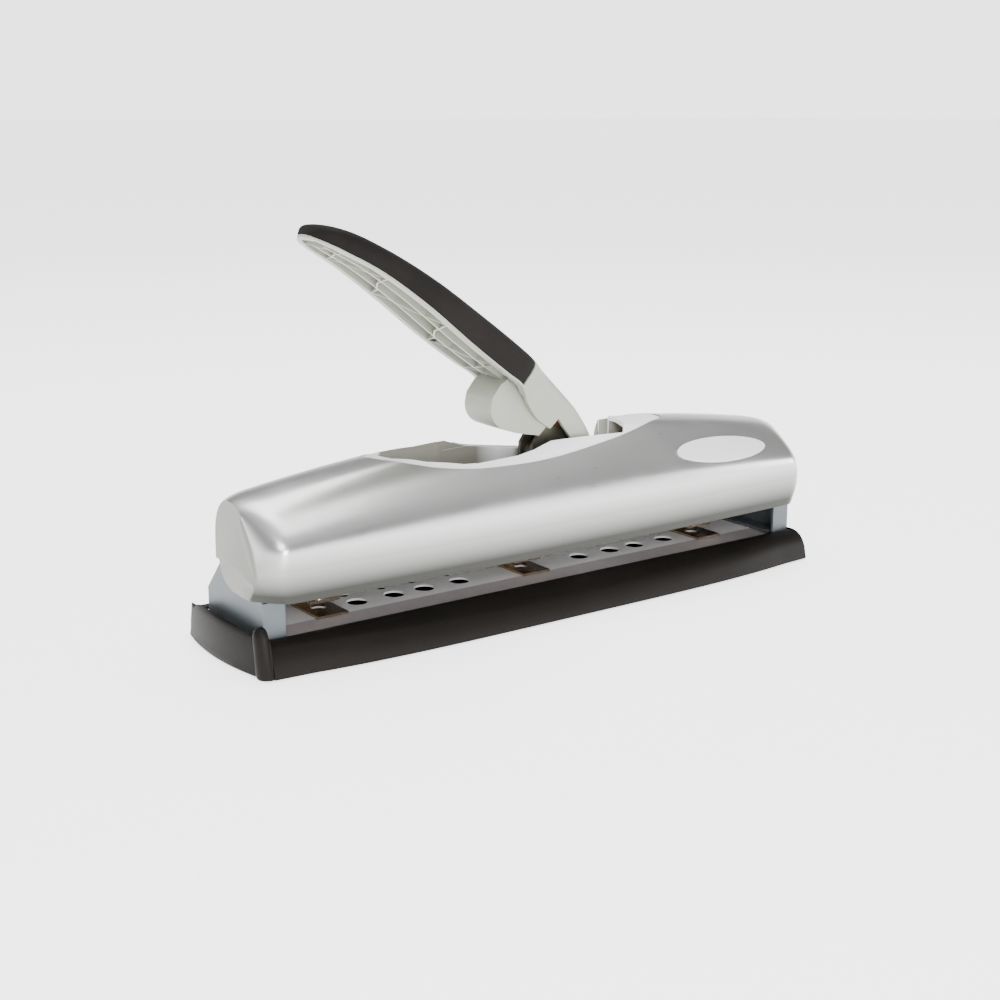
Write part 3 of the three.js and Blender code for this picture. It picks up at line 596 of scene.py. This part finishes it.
def badge_column(name, grow):
    """An upright oval column, tilted to stand square on the cover's front."""
    obj = prism(name, [(x * (BADGE_HALF[0] + grow), y * (BADGE_HALF[1] + grow))
                       for x, y in circle(0, 0, 1, 96)], -7, 7, Z)
    tilt = math.radians(BADGE_TILT)
    for vertex in obj.data.vertices:
        x, y, z = vertex.co
        vertex.co = (x, y * math.cos(tilt) - z * math.sin(tilt), y * math.sin(tilt) + z * math.cos(tilt))
        vertex.co += Vector(BADGE_CENTRE)
    return obj


def make_cover():
    oval = prism("oval", grown(fine(OVAL, 8, closed=True), GAP), *TOP_SPAN, Z)
    cover = cut(cover_block("cover_shell", 0), cover_block("inside", COVER_THICK), oval,
                back_notch("notch", 0), solver="EXACT")
    seat = cut(badge_column("seat", GAP), cover_block("seat_floor", SEAT_DEPTH))
    cover = cut(cover, seat, solver="EXACT")
    finish_piece(cover, "base", SILVER, ["cover"], 0.35)


def make_bezel():
    oval_line = fine(OVAL, 8, closed=True)
    skin = cut(cover_block("bezel_skin", TRAY_SINK), cover_block("under", COVER_THICK + TRAY_SINK))
    skin = common(skin, prism("oval", oval_line, *TOP_SPAN, Z))
    pan = join(prism("pan", grown(WELL, TRAY_WALL), WELL_FLOOR - TRAY_WALL, TOP_SPAN[1], Z),
               prism("small_pan", grown(POCKET, TRAY_WALL), POCKET_FLOOR - TRAY_WALL, TOP_SPAN[1], Z),
               box("fence", *FENCE))
    pan = common(pan, cover_block("outside", TRAY_SINK), prism("oval", oval_line, *TOP_SPAN, Z))
    bezel = cut(join(skin, pan), prism("well", WELL, WELL_FLOOR, ABOVE, Z),
                prism("slot", ROOT_SLOT, TOP_SPAN[0], ABOVE, Z),
                prism("pocket", POCKET, POCKET_FLOOR, ABOVE, Z), back_notch("notch", TRAY_SINK))
    finish_piece(bezel, "base", PALE, ["top_bezel"], 0.35)


def make_badge():
    badge = common(badge_column("badge_blank", 0), cover_block("proud", -BADGE_PROUD))
    badge = cut(badge, cover_block("badge_back", BADGE_DEPTH))
    finish_piece(badge, "base", BADGE, ["badge_plate"], 0.3)


# ------------------------------------------------------------------ base
BASE_HALF = 150
BASE_TOP = 14.2
BASE_UNDER = 0.8
BASE_BOW = 6                        # how far the front bows out in the middle
BOW_HALF = 132                      # the front's bulge runs this far each way
FRONT_TOP = (-27.6, BASE_TOP)
FRONT_FOOT = (-38, BASE_UNDER)
FRONT_STEPS = 18
CREASE_OUT = (-39.6, 9.6)           # the crease over the bulge, in the middle
CREASE_SHARE = 7 / FRONT_STEPS      # and how far down the front it comes
# y and z of the inside and the back, from the front's top edge round to the foot of the back
INSIDE_LINE = [
    (-27, BASE_TOP - 0.3), (-27, 9.4), (-24, 9.4), (-24, 2.3), (26, 2.3), (26, 10.7), (30, 10.7),
    (30, BASE_TOP - 1), (34, BASE_TOP - 1), (36.2, 11.4), (37.4, 8.6), (38, 5), (38, BASE_UNDER),
]


def base_front(x):
    """The front of the base at one place: a plain quarter round at the ends,
    with a crease over the bulge towards the middle."""
    middle = max(0.0, 1 - (x / BOW_HALF) ** 2)
    bow = BASE_BOW * (1 - (x / BASE_HALF) ** 2)
    deep, tall = FRONT_TOP[0] - FRONT_FOOT[0], FRONT_TOP[1] - FRONT_FOOT[1]
    points = []
    for i in range(FRONT_STEPS + 1):
        t = i / FRONT_STEPS
        angle = math.radians(90 * t)
        y = FRONT_TOP[0] - deep * math.sin(angle) ** 0.9 - bow * min(1, 3 * t)
        z = FRONT_FOOT[1] + tall * math.cos(angle) ** 0.9
        bulged_y, bulged_z = bulged(t)
        points.append((lerp(y, bulged_y, middle), lerp(z, bulged_z, middle)))
    return points


def bulged(t):
    """The middle's front: nearly flat down to the crease, then a round face."""
    if t <= CREASE_SHARE:
        u = t / CREASE_SHARE
        return lerp(FRONT_TOP[0], CREASE_OUT[0], u), lerp(BASE_TOP, CREASE_OUT[1], u ** 1.25)
    u = (t - CREASE_SHARE) / (1 - CREASE_SHARE)
    foot = FRONT_FOOT[0] - BASE_BOW
    return lerp(CREASE_OUT[0], foot, math.sin(u * math.pi / 2) ** 0.8), lerp(CREASE_OUT[1], BASE_UNDER, u)


# height, radius and y of the round post at the front corner of the drawer's face
POST = [
    (BASE_UNDER, 4.4, -33.2), (2, 4.8, -33), (8, 4.7, -32.2), (14, 4.5, -31), (17.5, 4.3, -30.2),
    (19.4, 3.7, -29.9), (20.5, 2.6, -29.8), (21, 1.1, -29.8),
]


END_DEEP = 38                       # half the depth of the base's ends
END_REACH = 152.5                   # x of their outside at the corners, and its bulge in the middle
END_BULGE = 5
END_SAMPLES = 40
END_EDGE = 0.35                     # how far the sides stand in above the rounded foot


def end_outline(side, inner, pull):
    """The end from above, pulled in: straight inside, bulging outside, round at its corners."""
    deep = END_DEEP - pull
    points = [(side * inner, deep), (side * inner, -deep)]
    for i in range(END_SAMPLES + 1):
        t = i / END_SAMPLES
        bulge = (1 - (2 * t - 1) ** 2) * END_BULGE
        corner = min(1, (min(t, 1 - t) * 16)) ** 0.5
        reach = END_REACH + bulge - pull * 0.6 - inner
        points.append((side * (inner + reach * max(0.35, corner)), lerp(-deep, deep, t)))
    return points


def end_block(name, side, top, inner, roll):
    """The solid end of the base; its upper edge is rolled in by `roll`."""
    levels = [(BASE_UNDER, 0.5), (BASE_UNDER + 0.6, 0)]
    for t in (0.2, 0.4, 0.6, 0.75, 0.87, 0.95, 1):
        levels.append((top * t, END_EDGE + roll * (1 - (1 - t * t) ** 0.5)))
    return loft(name, [[(x, y, z) for x, y in end_outline(side, inner, pull)] for z, pull in levels])


def make_base():
    rings = []
    for x in np.linspace(-BASE_HALF, BASE_HALF, 91):
        section = base_front(x)[::-1] + INSIDE_LINE
        rings.append([(x, y, z) for y, z in section])
    base = join(loft("base_shell", rings), end_block("right_end", 1, 14.5, BASE_HALF - 0.5, 8.5))
    finish_piece(base, "base", BLACK, ["base_body"], 0.4)


def make_end_cap():
    inner = BASE_HALF + GAP
    cap = end_block("drawer_face", -1, 17.6, inner, 3.2)
    groove = box("groove", -BASE_HALF - 3.4, -BASE_HALF, -26, 42, 14.2, 19)
    rings = []
    for z, radius, y in POST:
        rings.append([(x - BASE_HALF - 0.6, y + dy, z) for x, dy in circle(0, 0, radius)])
    post = common(loft("post", rings), box("half", -160, -inner, -40, 40, 0, 40))
    cap = join(cut(cap, groove), post)
    finish_piece(cap, "drawer", BLACK, ["drawer_end_cap"], 0.5)


PLATE_THICK = 0.9
PLATE_EDGES = (-26.6, -9.5, 29.6)   # y of the plate's front edge, its fold and its back edge
PLATE_SPAN = (5, 20)                # from below the plate to above it
HOLE_INCHES = (0, 1.375, 2.125, 2.75, 3.5, 4.25)
HOLE_RADIUS = 4.7
LOCATOR_Y = 13                      # the small hole behind each punch hole
LOCATOR_RADIUS = 2.6


def make_die_plate():
    low, high = node_box("die_plate")
    front, fold, back = PLATE_EDGES
    line = [(front, low[Z] + PLATE_THICK), (fold, high[Z]), (back, high[Z])]
    under = [(y, z - PLATE_THICK) for y, z in line]
    plate = prism("die_plate_steel", under + line[::-1], low[X], high[X], X)
    for x in sorted({side * inches * INCH for inches in HOLE_INCHES for side in (-1, 1)}):
        hole = prism("hole", circle(x, PUNCH_Y, HOLE_RADIUS), *PLATE_SPAN, Z)
        locator = prism("dot", circle(x, LOCATOR_Y, LOCATOR_RADIUS, 32), *PLATE_SPAN, Z)
        cut(plate, hole, locator)
    finish_piece(plate, "base", PLATE, ["die_plate"], 0.2)


# ------------------------------------------------------------------ hand lever
# crest x and z, lower edge x and z, and half the width, from nose to root
LEVER = [
    (-113.4, 173.7, -114.0, 171.1, 5), (-108.4, 175.9, -110.2, 168.7, 12),
    (-99.5, 174.2, -103.5, 164.8, 16.5), (-83.6, 166.7, -90.0, 157.1, 20),
    (-61.7, 153.8, -69.7, 142.6, 22), (-36.8, 136.5, -46.4, 123.8, 22),
    (-17.9, 122.7, -28.9, 110.8, 21), (-9.0, 115.8, -19.3, 104.1, 19.4),
    (0.9, 107.6, -12.2, 95.2, 14), (10.4, 98.8, -6.0, 87.2, 12.8),
    (20.8, 88.4, 3.9, 80.3, 11.2), (29.4, 75.9, 11.9, 72.3, 10.2),
    (34.2, 63.5, 12.5, 63.3, 10.2), (31.8, 55.0, 16.9, 54.7, 10.2),
]
LEVER_STEPS = 8
GRIP_END = 7 * LEVER_STEPS          # the station at which the rubber sleeve ends
GRIP_THICK = 2.3
GRIP_STEP = (0.5, 0, -0.4)          # how far the shell steps back there
GRIP_WALL = 2.0                     # the sleeve's own, and how its nose is moved to leave it closed
GRIP_NOSE = (1.6, 0, -1.2)
SHELL_WALL = 2.0
SHELL_LIP = 0.9                     # height of the lip along the lower edge
HOLLOW_START = 5                    # the station at which the hollow underside starts
HAND_Y = -6                         # of the lever's middle
PIVOT = (24, 63)
HUB_RADIUS = 9.4
BORE_RADIUS = 3.3
ROOT_HALF = 10.2
ROOT_WALL = 2.2
ROOT_NOTCH = [(7, 85.6), (-1, 78.6), (0, 66), (12, 62), (15.5, 75.2)]
ACROSS = (-40, 40)                  # wider than the lever
# x and z of the block under the root: its round nose, the rest of its outline, and its hollow
BLOCK_NOSE = [(-28.4, 98.6), (-29.4, 93), (-28.4, 89), (-25.4, 85.4), (-16, 81.4)]
BLOCK_REST = [(-3, 78.8), (5, 86), (10, 94), (2, 102), (-14, 109), (-24, 104)]
BLOCK_HOLLOW = [
    (-25.8, 98), (-26.8, 93), (-24, 87.8), (-15, 83.8), (-8, 62), (30, 62), (12, 93),
    (4, 98), (-12, 105), (-21, 101),
]
WEB_SIDES = (-0.36, 0.36)           # places of the webs, as shares of half the lever's width
CROSS_SIDE = 0.97
WEB_HALF = 0.8                      # half a web's thickness
WEB_FOOT = 0.2
WEB_SPARE = 1.0                     # left between a web and the shell's inside
# the lever's section, across and up, for a half width and a height of 1
SECTION = [
    (-1, 0), (-1, 0.25), (-1, 0.5), (-0.94, 0.76), (-0.78, 0.9), (-0.45, 0.975), (0, 1),
    (0.45, 0.975), (0.78, 0.9), (0.94, 0.76), (1, 0.5), (1, 0.25), (1, 0),
]
STATIONS = fine(LEVER, LEVER_STEPS)
CURVED_SECTION = fine(SECTION, 4)


def lever_frame(station):
    """A station's lower edge, its way up, its height and half its width."""
    tx, tz, lx, lz, half = station
    height = math.hypot(tx - lx, tz - lz)
    return np.array((lx, lz)), np.array((tx - lx, tz - lz)) / height, height, half


def lever_point(station, side, up):
    """A point of the lever's section: side is across and up is from the lower edge."""
    low, way, _, _ = lever_frame(station)
    x, z = low + way * up
    return (x, HAND_Y + side, z)


def lever_ring(station, inset, floor):
    """The section moved in by inset, standing on floor above the lower edge."""
    _, _, height, half = lever_frame(station)
    wide, tall = max(half - inset, 0.8), max(height - inset, 1)
    return [lever_point(station, side * wide, max(up * tall, floor + up * 0.3))
            for side, up in CURVED_SECTION]


def make_handle():
    rings = []
    for i, station in enumerate(STATIONS):
        half = lever_frame(station)[3]
        foot = [lever_point(station, side, up) for side, up in
                ((half, SHELL_LIP), (half, 0), (-half, 0), (-half, SHELL_LIP))]
        rings.append(lever_ring(station, GRIP_THICK if i <= GRIP_END else 0, SHELL_LIP) + foot)
        if i == GRIP_END:
            step = lever_ring(station, 0, SHELL_LIP) + foot
            rings.append([np.array(point) + GRIP_STEP for point in step])
    hollow = [lever_ring(station, SHELL_WALL + (GRIP_THICK if i <= GRIP_END + 4 else 0), -4)
              for i, station in enumerate(STATIONS) if i >= HOLLOW_START]
    body = join(cut(loft("handle_shell", rings), loft("hollow", hollow)), *lever_ribs())
    near, far = HAND_Y - ROOT_HALF, HAND_Y + ROOT_HALF
    body = join(body, push_block(near, far), prism("hub", circle(*PIVOT, HUB_RADIUS, 64), near, far, Y))
    mouth = box("mouth", -4, 40, near + ROOT_WALL, far - ROOT_WALL, 40, 75)
    body = cut(body, mouth, prism("notch", ROOT_NOTCH, *ACROSS, Y),
               prism("bore", circle(*PIVOT, BORE_RADIUS), *ACROSS, Y))
    finish_piece(body, "handle", PLASTIC, ["handle_body"], 0.3, 40)


def lever_ribs():
    """Two long webs and a zigzag of cross webs in the lever's hollow underside."""
    ribs = [rib([(i, side) for i in range(12, GRIP_END + 6, 2)]) for side in WEB_SIDES]
    corners = list(range(11, GRIP_END + 4, 5))
    for turn, (a, b) in enumerate(zip(corners, corners[1:])):
        start, end = (-CROSS_SIDE, CROSS_SIDE) if turn % 2 else (CROSS_SIDE, -CROSS_SIDE)
        ribs.append(rib([(round(lerp(a, b, t)), lerp(start, end, t)) for t in (0, 0.25, 0.5, 0.75, 1)]))
    return ribs


def rib(path):
    """A web along a path of stations, each with a place across as a share of half the width."""
    rings = []
    for i, side in path:
        _, _, height, half = lever_frame(STATIONS[i])
        y = side * (half - GRIP_THICK - WEB_SPARE)
        tall = height * (1 - 0.1 * side ** 2) - GRIP_THICK - WEB_SPARE
        rings.append([lever_point(STATIONS[i], y + dy, up) for dy, up in
                      ((-WEB_HALF, WEB_FOOT), (WEB_HALF, WEB_FOOT), (WEB_HALF, tall), (-WEB_HALF, tall))])
    return loft("rib", rings)


def push_block(near, far):
    """The hollow block under the lever's root."""
    block = prism("block", [*fine(BLOCK_NOSE, 4), *BLOCK_REST], near, far, Y)
    return cut(block, prism("block_hollow", BLOCK_HOLLOW, near + ROOT_WALL, far - ROOT_WALL, Y))


def make_grip():
    outer = [lever_ring(station, 0, 1.1) for station in STATIONS[:GRIP_END + 1]]
    inner = [lever_ring(station, GRIP_WALL, -1) for station in STATIONS[:GRIP_END + 4]]
    inner[0] = [np.array(point) + GRIP_NOSE for point in inner[0]]
    grip = cut(loft("grip_sleeve", outer), loft("grip_hollow", inner))
    finish_piece(grip, "handle", RUBBER, ["handle_grip"], 0.45)


# ------------------------------------------------------------------ springs
WIRE_RADIUS = 0.45
COIL_RADIUS = 5.1
COIL_TURNS = 5
TURN_STEPS = 28


def make_spring(side, body):
    """A coil with flat end turns."""
    low, high = node_box(f"return_spring_{side}")
    centre = (low + high) / 2
    steps = COIL_TURNS * TURN_STEPS
    rings = []
    for i in range(steps + 1):
        t = i / steps
        climb = np.interp(t, [0, 0.16, 0.84, 1], [0, 0.035, 0.965, 1])
        angle = t * COIL_TURNS * 2 * math.pi
        out = np.array((math.cos(angle), math.sin(angle), 0))
        hub = np.array((centre[X], PUNCH_Y, lerp(low[Z] + WIRE_RADIUS, high[Z] - WIRE_RADIUS, climb)))
        rings.append([hub + out * (COIL_RADIUS + WIRE_RADIUS * math.cos(a))
                      + np.array((0, 0, WIRE_RADIUS * math.sin(a)))
                      for a in np.linspace(0, 2 * math.pi, 10, endpoint=False)])
    spring = loft(f"coil_spring_{side}", rings)
    finish_piece(spring, body, BRIGHT, [f"return_spring_{side}"], 0)
    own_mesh(spring)


# ------------------------------------------------------------------ stage
# how high over the horizon, from straight down at 0 to straight up at 1, and how bright
WORLD_BANDS = [
    (0.0, 1.0), (0.08, 1.0), (0.2, 0.55), (0.36, 0.04), (0.66, 0.04), (0.82, 0.19), (1.0, 0.27),
]
WORLD_STRENGTH = 3.0
FLOOR_GLOW = 2.2
FLOOR_HALF = 60                     # metres
FLOOR_DROP = 0.0002
# name, place, size and watts
LIGHTS = [
    ("key", (-0.9, -0.9, 1.2), 0.7, 14), ("top", (0.25, 0.35, 1.5), 1.1, 26),
    ("side", (1.3, -0.7, 0.35), 0.5, 7), ("low", (-0.5, -1.1, 0.38), 0.4, 12),
]
# metres from the drawing's origin, degrees and millimetres
CAMERA_PLACE = (-0.41544, -0.55996, 0.21867)
CAMERA_TURN = (76.031, 0, -35.711)
CAMERA_LENS = 55.8


def make_stage():
    corners = [(-FLOOR_HALF, -FLOOR_HALF, 0), (FLOOR_HALF, -FLOOR_HALF, 0),
               (FLOOR_HALF, FLOOR_HALF, 0), (-FLOOR_HALF, FLOOR_HALF, 0)]
    floor = new_object("floor", corners, [(0, 1, 2, 3)])
    pale = Paint("pale_floor", (0.92, 0.92, 0.92), 0.6, 0.0, Emission_Strength=FLOOR_GLOW)
    pale.shader.inputs["Emission Color"].default_value = (1, 1, 1, 1)
    pale.tint(pale.spread(pale.noise(3), 0.0, 0.1), (0.94, 0.94, 0.94))
    floor.data.materials.append(pale.material)
    floor.location.z = -FLOOR_DROP

    bpy.context.scene.world = studio_world()
    for light in LIGHTS:
        soft_light(*light)

    camera = bpy.data.objects.new("camera", bpy.data.cameras.new("camera"))
    bpy.context.scene.collection.objects.link(camera)
    x, y, z = CAMERA_PLACE
    camera.location = (x, y + CENTRE_Y * MM, z)
    camera.rotation_euler = [math.radians(degrees) for degrees in CAMERA_TURN]
    camera.data.sensor_width = 36
    camera.data.lens = CAMERA_LENS
    bpy.context.scene.camera = camera


def studio_world():
    """Pale round the horizon and overhead, with a darker band between them."""
    world = bpy.data.worlds.new("studio")
    world.use_nodes = True
    nodes, links = world.node_tree.nodes, world.node_tree.links
    place = nodes.new("ShaderNodeTexCoord")
    split = nodes.new("ShaderNodeSeparateXYZ")
    ramp = nodes.new("ShaderNodeValToRGB")
    links.new(place.outputs["Generated"], split.inputs["Vector"])
    links.new(split.outputs["Z"], ramp.inputs["Fac"])
    links.new(ramp.outputs["Color"], nodes["Background"].inputs["Color"])
    nodes["Background"].inputs["Strength"].default_value = WORLD_STRENGTH
    stops = ramp.color_ramp.elements
    stops[0].position, stops[1].position = WORLD_BANDS[0][0], WORLD_BANDS[-1][0]
    for position, _ in WORLD_BANDS[1:-1]:
        stops.new(position)
    for stop, (_, grey) in zip(stops, WORLD_BANDS):
        stop.color = (grey, grey, grey, 1)
    return world


def soft_light(name, place, size, power):
    """A square softbox, turned to the object."""
    light = bpy.data.objects.new(name, bpy.data.lights.new(name, "AREA"))
    bpy.context.scene.collection.objects.link(light)
    light.location = place
    light.rotation_euler = (Vector((0, 0, 0.06)) - light.location).to_track_quat("-Z", "Y").to_euler()
    light.data.shape = "SQUARE"
    light.data.size = size
    light.data.energy = power


# ------------------------------------------------------------------ assembly
make_cover()
make_bezel()
make_badge()
make_base()
make_end_cap()
make_die_plate()
make_handle()
make_grip()
for side, body in (("left", "head_left"), ("middle", "base"), ("right", "head_right")):
    make_spring(side, body)

dress(["chip_drawer"], BLACK)
dress([n for n in NODES if n.startswith("foot_")], RUBBER, 0.4)
dress(["cheek_left", "cheek_right", "upper_frame", "rear_frame", "pivot_bracket_front",
       "pivot_bracket_back", "guide_post_left", "guide_post_right"], ZINC)
dress(["pivot_pin", "drive_pin", "bar_pin"] + [n for n in NODES if n.startswith("punch_pin")], BRIGHT)
dress(["pressure_bar", "lever_plate_front", "lever_plate_back", "drive_link"]
      + [n for n in NODES if n.startswith("pin_collar")], DARK)
dress([n for n in NODES if n.startswith(("head_frame", "head_latch"))], BRONZE, 0.35)
make_stage()
